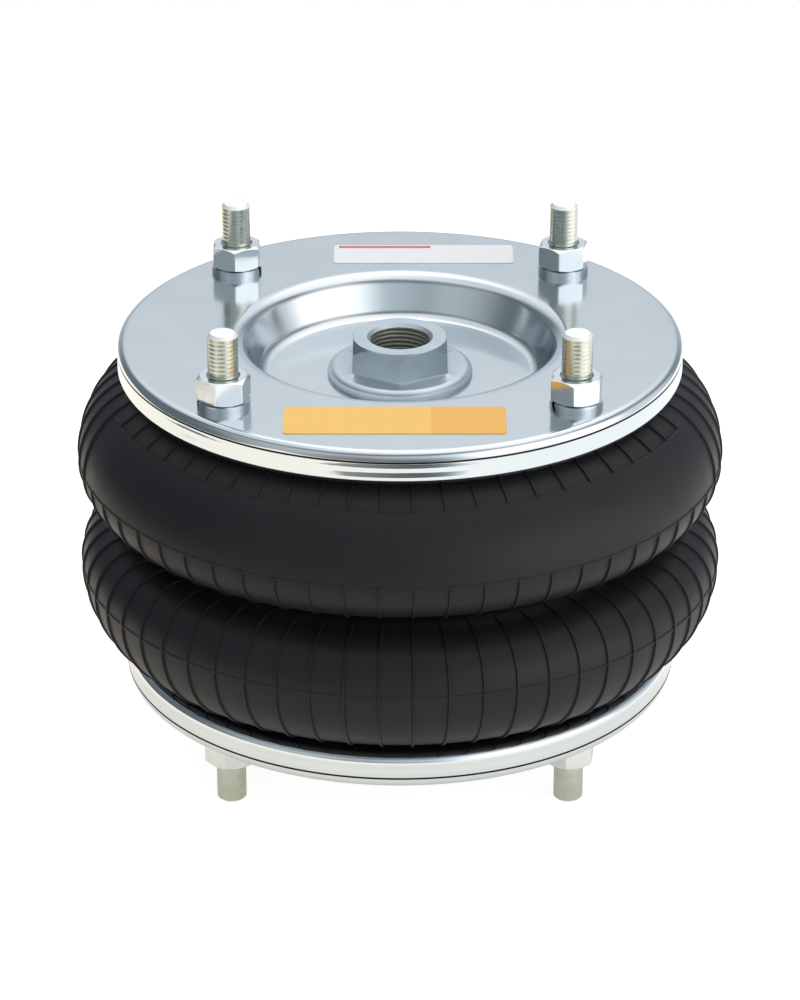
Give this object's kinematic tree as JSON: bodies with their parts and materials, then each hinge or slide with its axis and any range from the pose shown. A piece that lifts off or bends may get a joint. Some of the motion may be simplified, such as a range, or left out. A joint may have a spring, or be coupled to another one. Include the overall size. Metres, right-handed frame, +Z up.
{
  "type": "air bellows actuator",
  "caption": "Convoluted rubber air bellows crimped between round dished steel plates, with mounting studs, nuts and a hexagonal air port; it lifts, pushes or isolates along its axis.",
  "frame": {"origin": "centre of the plane through the tips of the lower studs", "axes": "+Z up along the stroke axis, towards the air port; -Y is the front, with the wide label; +X to the right"},
  "size_m": [0.2636, 0.2638, 0.206],
  "materials": {
    "zinc_plate": "bright zinc plated, smooth",
    "zinc_port": "bright zinc plated, machined",
    "black_rubber": "satin moulded rubber with fine ribs",
    "hoop_wire": "drawn wire",
    "bead_wire": "drawn wire",
    "stud_steel": "zinc plated thread",
    "washer_steel": "zinc plated spring steel",
    "zinc_nut": "bright zinc plated",
    "yellow_label": "printed film",
    "white_label": "printed film"
  },
  "bodies": {
    "base": {"bottom_bead_plate": "zinc_plate", "bottom_bead_wire": "bead_wire", "bottom_stud_front_left": "stud_steel", "bottom_stud_front_right": "stud_steel", "bottom_stud_rear_left": "stud_steel", "bottom_stud_rear_right": "stud_steel", "bottom_washer_front_left": "washer_steel", "bottom_washer_front_right": "washer_steel", "bottom_washer_rear_left": "washer_steel", "bottom_washer_rear_right": "washer_steel", "bottom_nut_front_left": "zinc_nut", "bottom_nut_front_right": "zinc_nut", "bottom_nut_rear_left": "zinc_nut", "bottom_nut_rear_right": "zinc_nut"},
    "girdle": {"girdle_hoop": "hoop_wire", "bellows": "black_rubber"},
    "top": {"top_bead_plate": "zinc_plate", "top_bead_wire": "bead_wire", "air_port": "zinc_port", "front_label": "yellow_label", "rear_label": "white_label", "top_stud_front_left": "stud_steel", "top_stud_front_right": "stud_steel", "top_stud_rear_left": "stud_steel", "top_stud_rear_right": "stud_steel", "top_washer_front_left": "washer_steel", "top_washer_front_right": "washer_steel", "top_washer_rear_left": "washer_steel", "top_washer_rear_right": "washer_steel", "top_nut_front_left": "zinc_nut", "top_nut_front_right": "zinc_nut", "top_nut_rear_left": "zinc_nut", "top_nut_rear_right": "zinc_nut"}
  },
  "joints": [
    {"name": "lower_stroke", "type": "slide", "parent": "base", "child": "girdle", "axis": [0, 0, 1], "range_m": [-0.028, 0.032], "stiffness_N_per_m": 20000, "deforming": ["bellows"]},
    {"name": "upper_stroke", "type": "slide", "parent": "girdle", "child": "top", "axis": [0, 0, 1], "range_m": [-0.028, 0.032], "stiffness_N_per_m": 20000}
  ],
  "couplings": [
    {"joint": "upper_stroke", "follows": "lower_stroke", "ratio": 1}
  ]
}
